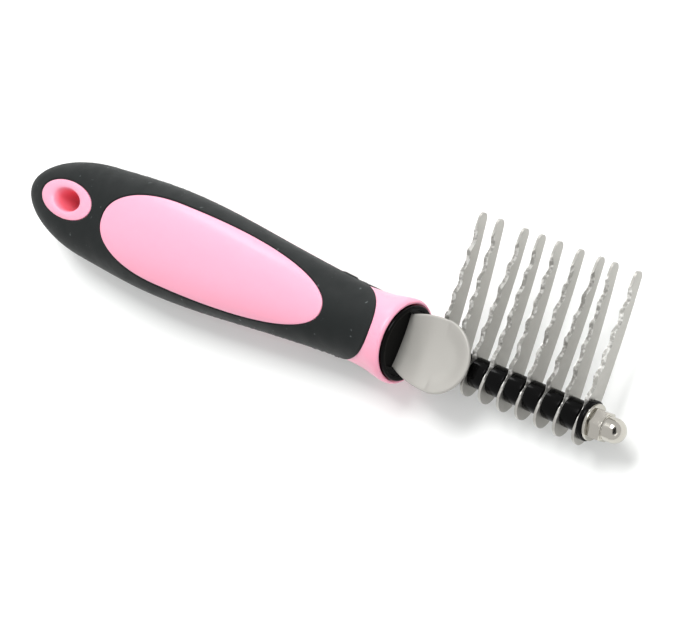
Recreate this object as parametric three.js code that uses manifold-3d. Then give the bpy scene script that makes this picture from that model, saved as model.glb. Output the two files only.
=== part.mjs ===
// A nine-blade de-matting rake: moulded handle, thumb rest, and a clamped stack of blades on a rod.
// Millimetres. Worked out about the rod axis (+X from handle to cap nut, +Y to the blade tips,
// +Z up through the thumb rest), then moved so that the origin is under the middle of the object.
import * as THREE from "three";
import * as BufferGeometryUtils from "three/addons/utils/BufferGeometryUtils.js";
import Module from "manifold-3d";

const wasm = await Module();
wasm.setup();

// ---- driving dimensions -------------------------------------------------------------------
const BLADES = 9;
const PITCH = 5.6; // blade to blade along the rod
const BLADE_THICK = 1.0;
const FIRST_BLADE_X = 10.7; // middle of the first blade
const BLADE_TIP_Y = 37.2; // furthest point of a tip from the rod axis
const TIP_RADIUS = 1.4;
const TIP_Z = 1.3; // the tip sits towards the cutting edge
const BASE_RADIUS = 3.95; // round lower end of a blade
const BASE_DROP = 2.6; // its centre lies below the rod axis
const SCALLOPS = 6;
const SCALLOP_PITCH = 5.5;
const SCALLOP_DEPTH = 0.65;
const SCALLOP_START = -0.5; // the lowest hollow starts beside the rod

const STACK_GAP = 0.05; // running gap between stacked faces
const FIT = 0.25; // gap round a pin, a rod or a moulded insert

const ROD_RADIUS = 2.0; // M4
const ROD_FLAT = 1.6; // half the distance across the two keying flats
const ROD_FRONT_X = 63.5;
const ROD_REAR_X = -34;
const SPACER_RADIUS = 3.85;
const STOP_RADIUS = 3.2; // stop collar under the thumb rest
const STOP_X = 7.0;
const END_RING_RADIUS = 5.1;
const END_RING_THICK = 1.3;
const WASHER_RADIUS = 4.65;
const WASHER_THICK = 0.8;
const NUT_FLATS = 7.0;
const NUT_HEX_HEIGHT = 3.4;
const NUT_LENGTH = 8.35;
const DOME_RADIUS = 3.05;
const NUT_BORE_GAP = 0.4; // the thread's depth is left out of the nut's bore

const PLATE_THICK = 1.1; // thumb rest
const PLATE_LOW = 2.2; // its underside runs just above the rod inside the plug
const PLATE_HIGH = 4.25; // and clears the blades from the first one on
const PLATE_RAMP_X = 9.6; // the ramp between the two ends here
const PLATE_DISH = 1.2; // its edges are this much higher than its middle line
const PLATE_Y = 0.3;
const PLATE_ROUND_X = 14.1; // centre of its round end
const PLATE_ROUND_RADIUS = 9.5;
const PLATE_ROOT_X = 1.15; // shoulders where it leaves the plug
const PLATE_ROOT_HALF = 7.3;
const PLATE_TANG_X = -3;
const PLATE_TANG_HALF = 6.2;
const LIP_RISE = 1.3; // the round end curls up by this much
const LIP_RUN = 5.5;

const HANDLE_X = 1.3; // the handle's axis lies above the rod's, so that the plate is at its middle
const HANDLE_Z = 2.0;
const PLUG_RADIUS = 10.15; // from here to the eyelet, x is from the handle's own origin
const PLUG_RIM_WIDTH = 1.3;
const PLUG_RIM_FRONT = 0.55;
const PLUG_FACE_X = -0.4; // recessed face
const PLUG_STEP_X = -1.4;
const PLUG_BODY_RADIUS = 9.0;
const PLUG_BODY_X = -5.0;
const BOSS_RADIUS = 4.5;
const BOSS_X = -14;

const INSERT_FLATS = 7.5; // from the rod's origin again
const INSERT_FRONT_X = -13.1;
const INSERT_REAR_X = -36;
const PIN_RADIUS = 1.0;
const PIN_X = -28;

const GRIP_WALL = 2.0;
const NECK_X = -16; // the handle's oval body ends here and the round collar begins
const CAP_X = -117; // the rounded butt begins here
const CAP_LENGTH = 28;
const OVAL_POWER = 2.25; // superellipse power of the handle's sections
const TONGUE_LENGTH = 11.2; // grip tongue over the collar
const TONGUE_HALF = 10.4;
const TONGUE_POWER = 2.15;
const FULL_OVAL_X = -40; // sections are round at the neck and fully oval from here back
const WINDOW_X = -80; // widest place of the pad window
const WINDOW_REAR = 25.8;
const WINDOW_FRONT = 58.4;
const WINDOW_HALF = 12.0;
const EYELET_X = -123.4; // hanging eyelet
const EYELET_LONG = 12.1;
const EYELET_WIDE = 5.65;
const EYELET_TOP = 8.8;
const HOLE_LONG = 6.2;
const HOLE_WIDE = 3.4;

const AROUND = 36; // sides of the handle's sections
const ROUND_SIDES = 32; // sides of rods, rings and spacers
const PIN_SIDES = 10;
const FAR = 60; // reaches past the object in a cut

// x, half width and half thickness of the handle, from the tongue's root over the collar to the butt
const HANDLE_STATIONS = [
  [-4.5, 11.5, 11.5],
  [-7.5, 10.9, 10.9],
  [-11, 10.5, 10.5],
  [NECK_X, 10.3, 10.3],
  [-28, 10.9, 10.5],
  [-48, 12.7, 11.3],
  [-69, 14.7, 12.0],
  [-91, 15.5, 12.1],
  [CAP_X, 14.1, 9.7],
];
// x and radius of the collar's outside, from the neck to the front lip
const COLLAR_PROFILE = [
  [-20, 10.0],
  [NECK_X, 10.0],
  [-11, 10.2],
  [-7.5, 10.6],
  [-4.5, 11.2],
  [-2.6, 11.45],
  [-1.2, 11.45],
  [-0.5, 11.2],
  [-0.2, 10.85],
  [-0.25, 10.6],
];

const COLOURS = {
  pink: { color: 0xf9bccd, roughness: 0.35, metalness: 0 },
  rubber: { color: 0x2b3031, roughness: 0.75, metalness: 0 },
  black: { color: 0x0c0d0e, roughness: 0.18, metalness: 0 },
  steel: { color: 0xc4c6c8, roughness: 0.28, metalness: 1 },
  bright: { color: 0xdedfe0, roughness: 0.12, metalness: 1 },
  brass: { color: 0xc9a45a, roughness: 0.35, metalness: 1 },
};

// ---- solids and booleans ------------------------------------------------------------------
function toSolid(geometry) {
  const bare = geometry.clone();
  bare.deleteAttribute("normal");
  bare.deleteAttribute("uv");
  const merged = BufferGeometryUtils.mergeVertices(bare, 1e-5);
  return new wasm.Manifold(new wasm.Mesh({
    numProp: 3,
    vertProperties: new Float32Array(merged.attributes.position.array),
    triVerts: new Uint32Array(merged.index.array),
  }));
}

function toGeometry(solid) {
  const mesh = solid.getMesh();
  const geometry = new THREE.BufferGeometry();
  geometry.setAttribute("position", new THREE.BufferAttribute(mesh.vertProperties, 3));
  geometry.setIndex(new THREE.BufferAttribute(mesh.triVerts, 1));
  return geometry;
}

// Turned solid about the X axis; the profile is a list of [x, radius] that starts and ends on the axis.
function turned(profile, sides = ROUND_SIDES) {
  const points = profile.map(([x, radius]) => new THREE.Vector2(radius, x));
  const geometry = new THREE.LatheGeometry(points, sides);
  geometry.rotateZ(-Math.PI / 2);
  return toSolid(geometry);
}

function cylinderX(x0, x1, radius, sides = ROUND_SIDES) {
  return turned([[x0, 0], [x0, radius], [x1, radius], [x1, 0]], sides);
}

function block(x0, x1, y0, y1, z0, z1) {
  const geometry = new THREE.BoxGeometry(x1 - x0, y1 - y0, z1 - z0);
  geometry.translate((x0 + x1) / 2, (y0 + y1) / 2, (z0 + z1) / 2);
  return toSolid(geometry);
}

// Outline in X and Y, extruded along Z.
function prismZ(points, z0, z1) {
  const geometry = new THREE.ExtrudeGeometry(new THREE.Shape(points), {
    depth: z1 - z0,
    bevelEnabled: false,
  });
  geometry.translate(0, 0, z0);
  return toSolid(geometry);
}

// Outline in Y and Z, extruded along X.
function prismX(points, x0, x1) {
  const geometry = new THREE.ExtrudeGeometry(new THREE.Shape(points), {
    depth: x1 - x0,
    bevelEnabled: false,
  });
  geometry.rotateZ(Math.PI / 2);
  geometry.rotateY(Math.PI / 2);
  geometry.translate(x0, 0, 0);
  return toSolid(geometry);
}

function hexagonX(flats, x0, x1) {
  const radius = flats / Math.sqrt(3);
  const corners = [];
  for (let i = 0; i < 6; i++) {
    const angle = ((i + 0.5) * Math.PI) / 3;
    corners.push(new THREE.Vector2(radius * Math.cos(angle), radius * Math.sin(angle)));
  }
  return prismX(corners, x0, x1);
}

function roundPower(value, power) {
  return Math.sign(value) * Math.abs(value) ** (2 / power);
}

// Closed oval outline: superellipse with its own half length on each side of the middle.
function oval(x, rear, front, half, power, sides) {
  const points = [];
  for (let i = 0; i < sides; i++) {
    const angle = (2 * Math.PI * i) / sides;
    const along = roundPower(Math.cos(angle), power);
    const reach = along < 0 ? rear : front;
    points.push(new THREE.Vector2(x + reach * along, half * roundPower(Math.sin(angle), power)));
  }
  return points;
}

// Closed skin through a list of rings of equal length, with a point at both ends.
function loft(rings, first, last) {
  const sides = rings[0].length;
  const vertices = [...first];
  rings.forEach((ring) => ring.forEach((point) => vertices.push(...point)));
  vertices.push(...last);
  const lastIndex = 1 + rings.length * sides;
  const index = [];
  for (let j = 0; j < sides; j++) {
    const next = (j + 1) % sides;
    index.push(0, 1 + j, 1 + next);
    for (let i = 0; i + 1 < rings.length; i++) {
      const a = 1 + i * sides;
      const b = a + sides;
      index.push(a + j, b + next, a + next, a + j, b + j, b + next);
    }
    const end = 1 + (rings.length - 1) * sides;
    index.push(end + j, lastIndex, end + next);
  }
  const geometry = new THREE.BufferGeometry();
  geometry.setAttribute("position", new THREE.Float32BufferAttribute(vertices, 3));
  geometry.setIndex(index);
  return toSolid(geometry);
}

// ---- handle -------------------------------------------------------------------------------
// Stations of the handle: a spline through the table, then a butt whose size falls as a cosine.
function handleStations() {
  const spline = new THREE.CatmullRomCurve3(HANDLE_STATIONS.map((row) => new THREE.Vector3(...row)));
  const stations = spline.getPoints(21).map((point) => point.toArray());
  const [, width, height] = stations[stations.length - 1];
  for (const degrees of [14, 28, 42, 55, 67, 78, 85]) {
    const angle = THREE.MathUtils.degToRad(degrees);
    const fall = Math.cos(angle);
    stations.push([CAP_X - CAP_LENGTH * Math.sin(angle), width * fall, height * fall ** 0.65]);
  }
  return stations;
}

// The handle's body, shrunk by inset on every side.
function handleBody(inset) {
  const rings = handleStations().map(([x, width, height]) => {
    const ring = [];
    const oval = THREE.MathUtils.clamp((NECK_X - x) / (NECK_X - FULL_OVAL_X), 0, 1);
    const power = THREE.MathUtils.lerp(2, OVAL_POWER, oval);
    for (let j = 0; j < AROUND; j++) {
      const angle = (2 * Math.PI * j) / AROUND;
      const y = Math.max(width - inset, 0.4) * roundPower(Math.cos(angle), power);
      const z = Math.max(height - inset, 0.4) * roundPower(Math.sin(angle), power);
      ring.push([Math.max(x, CAP_X - CAP_LENGTH + inset + 0.3), y, z]);
    }
    return ring;
  });
  const kept = rings.filter((ring, i) => i === 0 || ring[0][0] < rings[i - 1][0][0] - 0.2);
  return loft(kept, [rings[0][0][0], 0, 0], [CAP_X - CAP_LENGTH + inset, 0, 0]);
}

// Plan of the grip: everything behind the neck, and a rounded tongue over the collar.
function gripPlan(gap) {
  const points = [];
  const half = TONGUE_HALF + gap;
  const length = TONGUE_LENGTH + gap;
  for (let i = 0; i <= 20; i++) {
    const angle = -Math.PI / 2 + (Math.PI * i) / 20;
    const along = roundPower(Math.cos(angle), TONGUE_POWER);
    points.push(new THREE.Vector2(NECK_X + length * along, half * roundPower(Math.sin(angle), TONGUE_POWER)));
  }
  points.push(new THREE.Vector2(NECK_X, FAR));
  points.push(new THREE.Vector2(-4 * FAR, FAR));
  points.push(new THREE.Vector2(-4 * FAR, -FAR));
  points.push(new THREE.Vector2(NECK_X, -FAR));
  return prismZ(points, -FAR, FAR);
}

function windowPrism(gap) {
  const outline = oval(WINDOW_X, WINDOW_REAR - gap, WINDOW_FRONT - gap, WINDOW_HALF - gap, OVAL_POWER, 48);
  return prismZ(outline, -FAR, FAR);
}

function eyeletPrism(long, wide, top) {
  return prismZ(oval(EYELET_X, long, long, wide, 2, 32), -top, top);
}

function makeGrip() {
  return handleBody(0)
    .intersect(gripPlan(0))
    .subtract(handleBody(GRIP_WALL))
    .subtract(windowPrism(0))
    .subtract(eyeletPrism(EYELET_LONG, EYELET_WIDE, FAR));
}

// Moves a solid made about the rod axis into the handle's own frame.
function fromRod(solid) {
  return solid.translate([-HANDLE_X, 0, -HANDLE_Z]);
}

function makeCollar() {
  const tail = COLLAR_PROFILE[COLLAR_PROFILE.length - 1][0];
  const profile = [[COLLAR_PROFILE[0][0], 0], ...COLLAR_PROFILE, [tail, 0]];
  return turned(profile, 40);
}

function makeHandleCore() {
  const pads = handleBody(FIT).intersect(windowPrism(FIT));
  const socket = cylinderX(PLUG_STEP_X - FIT, FAR, PLUG_RADIUS + FIT, 40)
    .add(cylinderX(PLUG_BODY_X - FIT, FAR, PLUG_BODY_RADIUS + FIT, 40))
    .add(fromRod(cylinderX(BOSS_X + HANDLE_X - FIT, FAR, BOSS_RADIUS + FIT)))
    .add(fromRod(hexagonX(INSERT_FLATS + 2 * FIT, INSERT_REAR_X - FIT, BOSS_X + HANDLE_X)));
  return makeCollar()
    .subtract(gripPlan(FIT))
    .add(handleBody(GRIP_WALL + FIT))
    .add(pads)
    .add(eyeletPrism(EYELET_LONG - FIT, EYELET_WIDE - FIT, EYELET_TOP))
    .subtract(eyeletPrism(HOLE_LONG, HOLE_WIDE, FAR))
    .subtract(socket);
}

// ---- plug, rod and its anchor -------------------------------------------------------------
// The thumb rest's plan, made for one side and mirrored, and run anticlockwise.
function plateOutline(gap) {
  const shape = new THREE.Shape();
  shape.moveTo(PLATE_TANG_X - gap, PLATE_TANG_HALF + gap);
  shape.lineTo(PLATE_ROOT_X - gap, PLATE_TANG_HALF + gap);
  shape.lineTo(PLATE_ROOT_X - gap, PLATE_ROOT_HALF + gap);
  shape.quadraticCurveTo(
    PLATE_ROUND_X / 2,
    PLATE_ROUND_RADIUS + gap,
    PLATE_ROUND_X,
    PLATE_ROUND_RADIUS + gap,
  );
  shape.absarc(PLATE_ROUND_X, 0, PLATE_ROUND_RADIUS + gap, Math.PI / 2, 0, true);
  const half = shape.getPoints(10);
  const other = half.slice(0, -1).reverse().map((point) => new THREE.Vector2(point.x, -point.y));
  return [...half, ...other].reverse();
}

// Height of the plate's underside: level in the plug, a ramp, a level dish, and a curled end.
function plateHeight(x, y) {
  const ramp = THREE.MathUtils.smoothstep(x, 0, PLATE_RAMP_X);
  const lip = Math.max(0, x - PLATE_ROUND_X - PLATE_ROUND_RADIUS + LIP_RUN) / LIP_RUN;
  const dish = PLATE_DISH * (y / PLATE_ROUND_RADIUS) ** 2;
  return PLATE_LOW + (PLATE_HIGH - PLATE_LOW) * ramp + dish + LIP_RISE * lip ** 2;
}

// The plate grown by gap: rings of its outline run out over the top and back under it.
function plateSolid(gap) {
  const middle = new THREE.Vector2(PLATE_ROUND_X / 2, 0);
  const outline = plateOutline(gap);
  const ring = (size, lift) => outline.map((point) => {
    const at = middle.clone().lerp(point, size);
    return [at.x, at.y + PLATE_Y, plateHeight(at.x, at.y) + lift];
  });
  const top = PLATE_THICK + gap;
  const sizes = [0.25, 0.5, 0.75, 1];
  const over = sizes.map((size) => ring(size, top));
  const under = sizes.map((size) => ring(size, -gap)).reverse();
  const centre = plateHeight(middle.x, 0);
  return loft([...over, ...under], [middle.x, PLATE_Y, centre + top], [middle.x, PLATE_Y, centre - gap]);
}

function makePlug() {
  return turned([
    [PLUG_BODY_X, 0],
    [PLUG_BODY_X, PLUG_BODY_RADIUS],
    [PLUG_STEP_X, PLUG_BODY_RADIUS],
    [PLUG_STEP_X, PLUG_RADIUS],
    [PLUG_RIM_FRONT, PLUG_RADIUS],
    [PLUG_RIM_FRONT, PLUG_RADIUS - PLUG_RIM_WIDTH],
    [PLUG_FACE_X, PLUG_RADIUS - PLUG_RIM_WIDTH],
    [PLUG_FACE_X, 0],
  ], 40)
    .add(fromRod(cylinderX(BOSS_X + HANDLE_X, PLUG_BODY_X + 2, BOSS_RADIUS)))
    .subtract(fromRod(plateSolid(FIT)))
    .subtract(fromRod(cylinderX(BOSS_X, FAR, ROD_RADIUS + FIT)));
}

function makeRod() {
  const keyed = block(STOP_X, ROD_FRONT_X - 6.5, -FAR, FAR, ROD_FLAT, FAR);
  return cylinderX(ROD_REAR_X, ROD_FRONT_X, ROD_RADIUS)
    .subtract(keyed)
    .subtract(keyed.mirror([0, 0, 1]))
    .subtract(crossBore(PIN_RADIUS + FIT));
}

function crossBore(radius) {
  const geometry = new THREE.CylinderGeometry(radius, radius, 2 * FAR, PIN_SIDES);
  geometry.rotateY(Math.PI / PIN_SIDES);
  geometry.translate(PIN_X, 0, 0);
  return toSolid(geometry);
}

function makeRodInsert() {
  return hexagonX(INSERT_FLATS, INSERT_REAR_X, INSERT_FRONT_X)
    .subtract(cylinderX(INSERT_REAR_X - 1, FAR, ROD_RADIUS + FIT))
    .subtract(crossBore(PIN_RADIUS + FIT));
}

function makeLockPin() {
  const half = INSERT_FLATS / 2;
  return crossBore(PIN_RADIUS).intersect(block(-FAR, FAR, -half, half, -FAR, FAR));
}

// ---- blade stack --------------------------------------------------------------------------
function bladeX(i) {
  return FIRST_BLADE_X + PITCH * i;
}

// One hollow of the cutting edge: a shallow arc between two teeth.
function scallop(outline, start, end) {
  for (let i = 1; i <= 5; i++) {
    const t = i / 6;
    const along = start.clone().lerp(end, t);
    along.y -= SCALLOP_DEPTH * Math.sin(Math.PI * t) ** 0.8;
    outline.push(along);
  }
  outline.push(end);
}

// Outline of a blade in Y and Z: round base, scalloped cutting edge, round tip, smooth curved back.
function bladeOutline() {
  const outline = [];
  for (let i = 0; i <= 12; i++) {
    const angle = -Math.PI / 2 - (Math.PI * i) / 12;
    outline.push(new THREE.Vector2(-BASE_DROP + BASE_RADIUS * Math.cos(angle), BASE_RADIUS * Math.sin(angle)));
  }
  const edgeStart = new THREE.Vector2(SCALLOP_START, BASE_RADIUS - 0.15);
  const tipTop = new THREE.Vector2(BLADE_TIP_Y - TIP_RADIUS, TIP_Z + TIP_RADIUS);
  outline.push(edgeStart);
  const edge = tipTop.clone().sub(edgeStart).normalize();
  for (let i = 0; i < SCALLOPS; i++) {
    const start = edgeStart.clone().addScaledVector(edge, i * SCALLOP_PITCH);
    const end = edgeStart.clone().addScaledVector(edge, (i + 1) * SCALLOP_PITCH);
    scallop(outline, start, end);
  }
  for (let i = 1; i <= 8; i++) {
    const angle = Math.PI / 2 - (Math.PI * i) / 8;
    outline.push(new THREE.Vector2(
      BLADE_TIP_Y - TIP_RADIUS + TIP_RADIUS * Math.cos(angle),
      TIP_Z + TIP_RADIUS * Math.sin(angle),
    ));
  }
  const back = new THREE.QuadraticBezierCurve(
    outline[outline.length - 1].clone(),
    new THREE.Vector2(18, -BASE_RADIUS * 0.82),
    new THREE.Vector2(-BASE_DROP, -BASE_RADIUS),
  );
  outline.push(...back.getPoints(8).slice(1, -1));
  return outline;
}

function keyedBore(x0, x1) {
  const flat = ROD_FLAT + FIT;
  return cylinderX(x0, x1, ROD_RADIUS + FIT)
    .intersect(block(x0 - 1, x1 + 1, -FAR, FAR, -flat, flat));
}

function makeBlade(i) {
  const x0 = bladeX(i) - BLADE_THICK / 2;
  return prismX(bladeOutline(), x0, x0 + BLADE_THICK).subtract(keyedBore(x0 - 1, x0 + BLADE_THICK + 1));
}

function makeRing(x0, x1, radius) {
  return cylinderX(x0, x1, radius).subtract(cylinderX(x0 - 1, x1 + 1, ROD_RADIUS + FIT));
}

function makeSpacer(i) {
  const half = BLADE_THICK / 2 + STACK_GAP;
  return makeRing(bladeX(i) + half, bladeX(i + 1) - half, SPACER_RADIUS);
}

// Hexagon with its outer corners turned off, a domed cap, and a blind threaded bore.
function makeCapNut(x0) {
  const domeX = x0 + NUT_LENGTH - DOME_RADIUS;
  const corner = NUT_FLATS / Math.sqrt(3);
  const chamfer = turned([
    [x0, 0],
    [x0, NUT_FLATS / 2 + 0.1],
    [x0 + 0.3, corner + 0.1],
    [x0 + NUT_HEX_HEIGHT - 0.3, corner + 0.1],
    [x0 + NUT_HEX_HEIGHT, NUT_FLATS / 2 + 0.1],
    [x0 + NUT_HEX_HEIGHT, 0],
  ]);
  const dome = [[x0 + 1, 0], [x0 + 1, DOME_RADIUS], [domeX, DOME_RADIUS]];
  for (let i = 1; i < 8; i++) {
    const angle = (Math.PI / 2) * (i / 8);
    dome.push([domeX + DOME_RADIUS * Math.sin(angle), DOME_RADIUS * Math.cos(angle)]);
  }
  dome.push([domeX + DOME_RADIUS, 0]);
  return hexagonX(NUT_FLATS, x0, x0 + NUT_HEX_HEIGHT)
    .intersect(chamfer)
    .add(turned(dome))
    .subtract(cylinderX(x0 - 1, ROD_FRONT_X + NUT_BORE_GAP, ROD_RADIUS + NUT_BORE_GAP));
}

// ---- assembly -----------------------------------------------------------------------------
const rake = new THREE.Group();
const handle = new THREE.Group();
handle.position.set(HANDLE_X, 0, HANDLE_Z);
rake.add(handle);

function place(group, name, solid, finish) {
  const mesh = new THREE.Mesh(toGeometry(solid), new THREE.MeshStandardMaterial(COLOURS[finish]));
  mesh.name = name;
  group.add(mesh);
}

place(handle, "handle_core", makeHandleCore(), "pink");
place(handle, "grip", makeGrip(), "rubber");
place(handle, "collar_plug", makePlug(), "black");
place(rake, "thumb_rest", plateSolid(0), "steel");
place(rake, "rod", makeRod(), "bright");
place(rake, "rod_insert", makeRodInsert(), "brass");
place(rake, "rod_lock_pin", makeLockPin(), "steel");
place(rake, "stop_collar", makeRing(STOP_X, bladeX(0) - BLADE_THICK / 2 - STACK_GAP, STOP_RADIUS), "steel");
for (let i = 0; i < BLADES; i++) {
  place(rake, `blade_${i + 1}`, makeBlade(i), "steel");
  if (i + 1 < BLADES) place(rake, `spacer_${i + 1}`, makeSpacer(i), "black");
}
const ringX = bladeX(BLADES - 1) + BLADE_THICK / 2 + STACK_GAP;
const washerX = ringX + END_RING_THICK + STACK_GAP;
const nutX = washerX + WASHER_THICK + STACK_GAP;
place(rake, "end_ring", makeRing(ringX, ringX + END_RING_THICK, END_RING_RADIUS), "black");
place(rake, "washer", makeRing(washerX, washerX + WASHER_THICK, WASHER_RADIUS), "bright");
place(rake, "cap_nut", makeCapNut(nutX), "bright");

const box = new THREE.Box3().setFromObject(rake);
rake.position.set(-(box.min.x + box.max.x) / 2, -(box.min.y + box.max.y) / 2, -box.min.z);
rake.updateMatrixWorld(true);

export default rake;
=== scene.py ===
# %% [markdown]
# A nine-blade de-matting rake
#
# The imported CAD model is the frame: it says where every part is and what moves. This lesson dresses
# it. Most parts get a finer surface worked out with numpy, and every part gets a material of its own.
# Shapes are in millimetres about two axes: the rod's, through the blades, and the handle's, which
# lies a little above it.

import bmesh
import bpy
import numpy as np
from mathutils import Matrix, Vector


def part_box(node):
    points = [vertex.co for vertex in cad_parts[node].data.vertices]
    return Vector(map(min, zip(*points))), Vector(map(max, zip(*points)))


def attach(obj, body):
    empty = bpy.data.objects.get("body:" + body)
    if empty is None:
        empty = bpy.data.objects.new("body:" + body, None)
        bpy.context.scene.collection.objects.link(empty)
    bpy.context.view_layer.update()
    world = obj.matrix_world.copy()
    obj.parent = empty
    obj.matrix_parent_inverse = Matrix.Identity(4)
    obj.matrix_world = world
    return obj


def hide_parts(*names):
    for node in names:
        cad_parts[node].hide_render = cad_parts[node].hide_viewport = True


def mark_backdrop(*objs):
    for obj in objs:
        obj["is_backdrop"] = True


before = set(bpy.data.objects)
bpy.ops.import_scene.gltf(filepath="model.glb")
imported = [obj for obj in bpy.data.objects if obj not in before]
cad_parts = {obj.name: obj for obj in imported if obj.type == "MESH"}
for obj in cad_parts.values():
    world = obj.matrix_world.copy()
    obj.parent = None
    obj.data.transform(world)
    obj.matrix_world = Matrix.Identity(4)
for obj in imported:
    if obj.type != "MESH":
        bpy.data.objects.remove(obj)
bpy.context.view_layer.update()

# %% [markdown]
# The CAD boxes give the two axes. A washer is centred on the rod, and the handle's core is as high
# above the handle's axis as it is below it. The collar plug's rim is the foremost part of the handle.

# %% Find the two axes
MM = 0.001


def box_mm(node):
    """Lowest and highest corner of a CAD part, in millimetres."""
    return [np.array(corner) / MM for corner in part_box(node)]


def span_x(node):
    low, high = box_mm(node)
    return low[0], high[0]


BLADES = 9
FIRST_BLADE_X = 10.7  # from the rod's origin to the middle of the first blade
PLUG_RIM_FRONT = 0.55

washer_low, washer_high = box_mm("washer")
blade_low, blade_high = box_mm("blade_1")
core_low, core_high = box_mm("handle_core")
rod_origin = (washer_low + washer_high) / 2
rod_origin[0] = (blade_low[0] + blade_high[0]) / 2 - FIRST_BLADE_X
handle_origin = np.array([
    span_x("collar_plug")[1] - PLUG_RIM_FRONT,
    rod_origin[1],
    (core_low[2] + core_high[2]) / 2,
])
print("rod origin", rod_origin.round(2), "handle origin", handle_origin.round(2))

# %% [markdown]
# The camera stands in front of the cap nut and well above it, and is rolled so that the handle runs
# up to the left. A long lens keeps the blades almost parallel.

# %% Place the camera
CAMERA_AIM = (-22.3, 0.7, 0.0)  # from the rod's origin
CAMERA_DISTANCE = 470.4
CAMERA_AZIMUTH = 5.87
CAMERA_ELEVATION = 53.71
CAMERA_ROLL = -74.28
CAMERA_LENS = 93.9


def camera_matrix(aim, azimuth, elevation, distance, roll):
    """Camera axes as columns: the third points from the aim to the camera, the first is the level
    right-hand direction turned by roll about it, and the second is square to both."""
    turn, lift, tilt = np.radians([azimuth, elevation, roll])
    away = np.array([np.cos(lift) * np.cos(turn), np.cos(lift) * np.sin(turn), np.sin(lift)])
    level = np.cross([0, 0, 1], away)
    level /= np.linalg.norm(level)
    right = np.cos(tilt) * level + np.sin(tilt) * np.cross(away, level)
    columns = [right, np.cross(away, right), away, (aim + distance * away) * MM]
    matrix = np.identity(4)
    matrix[:3] = np.array(columns).T
    return Matrix(matrix.tolist())


lens = bpy.data.cameras.new("camera")
lens.lens = CAMERA_LENS
lens.sensor_width = 36
lens.clip_start = 0.01
camera = bpy.data.objects.new("camera", lens)
bpy.context.scene.collection.objects.link(camera)
camera.matrix_world = camera_matrix(
    rod_origin + CAMERA_AIM, CAMERA_AZIMUTH, CAMERA_ELEVATION, CAMERA_DISTANCE, CAMERA_ROLL
)
bpy.context.scene.camera = camera
print("camera at", [round(c, 3) for c in camera.location])

# %% [markdown]
# Every new piece is one or more grids of points. A grid is an array of rows and columns, and its
# faces join neighbours. Grids that share an edge are welded, which also closes the poles, and then
# the faces are turned outwards.

# %% Turn grids of points into a piece
WELD = 1e-6


def grid_faces(rows, columns, wrap=True):
    """Quads between neighbouring points of a grid; wrap joins the last column to the first."""
    i, j = np.meshgrid(np.arange(rows - 1), np.arange(columns - (not wrap)), indexing="ij")
    here = i * columns
    right = (j + 1) % columns
    return np.stack([here + j, here + right, here + columns + right, here + columns + j], -1).reshape(-1, 4)


def make_piece(name, grids, origin, sharp=35, **attributes):
    """One mesh from a list of (points[rows, columns, 3], wrap) in millimetres about an origin.
    An attribute is a value from 0 to 1 for each point, which the material reads by name."""
    points, faces, count = [], [], 0
    for grid, wrap in grids:
        rows, columns = grid.shape[:2]
        faces.append(grid_faces(rows, columns, wrap) + count)
        points.append(grid.reshape(-1, 3))
        count += rows * columns
    mesh = bpy.data.meshes.new(name)
    mesh.from_pydata((np.concatenate(points) + origin) * MM, [], np.concatenate(faces).tolist())
    for key, values in attributes.items():
        mesh.attributes.new(key, "FLOAT", "POINT").data.foreach_set("value", values.ravel())
    close_mesh(mesh)
    mesh.shade_smooth()
    mesh.set_sharp_from_angle(angle=np.radians(sharp))
    piece = bpy.data.objects.new(name, mesh)
    bpy.context.scene.collection.objects.link(piece)
    print(f"{name}: {len(mesh.vertices)} points, {len(mesh.polygons)} faces")
    return piece


def close_mesh(mesh):
    """Welds equal points, drops the faces that a pole has flattened, and turns faces outwards."""
    work = bmesh.new()
    work.from_mesh(mesh)
    bmesh.ops.remove_doubles(work, verts=work.verts, dist=WELD)
    bmesh.ops.dissolve_degenerate(work, edges=work.edges, dist=WELD / 10)
    bare = [edge for edge in work.edges if edge.is_wire]
    bmesh.ops.delete(work, geom=bare, context="EDGES")
    bmesh.ops.recalc_face_normals(work, faces=work.faces)
    work.to_mesh(mesh)
    work.free()


def fit_out(piece, body, slot, material, *nodes):
    """Rides on a body, takes a material, and stands for CAD parts. The slot is not used."""
    piece.data.materials.clear()
    piece.data.materials.append(material)
    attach(piece, body)
    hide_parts(*nodes)
    return piece


def spline(knots, values, at):
    """Natural cubic spline. Its second derivatives solve one linear equation per inner knot: the
    change of slope across the knot is what the curvature on its two sides adds up to."""
    knots, values = np.asarray(knots, float), np.asarray(values, float)
    step = np.diff(knots)
    slope = np.diff(values) / step
    count = len(knots)
    system = np.identity(count)
    right = np.zeros(count)
    for i in range(1, count - 1):
        system[i, i - 1:i + 2] = step[i - 1], 2 * (step[i - 1] + step[i]), step[i]
        right[i] = 6 * (slope[i] - slope[i - 1])
    bend = np.linalg.solve(system, right)
    k = np.clip(np.searchsorted(knots, at) - 1, 0, count - 2)
    t = np.asarray(at, float) - knots[k]
    start = slope[k] - step[k] * (2 * bend[k] + bend[k + 1]) / 6
    return values[k] + t * (start + t * (bend[k] / 2 + t * (bend[k + 1] - bend[k]) / (6 * step[k])))


def smooth_path(points, steps):
    """A spline through points in a plane, read at even steps of its parameter, chord length."""
    points = np.asarray(points, float)
    chord = np.concatenate([[0], np.cumsum(np.linalg.norm(np.diff(points, axis=0), axis=1))])
    at = np.linspace(0, chord[-1], steps)
    return np.stack([spline(chord, points[:, 0], at), spline(chord, points[:, 1], at)], -1)


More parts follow.
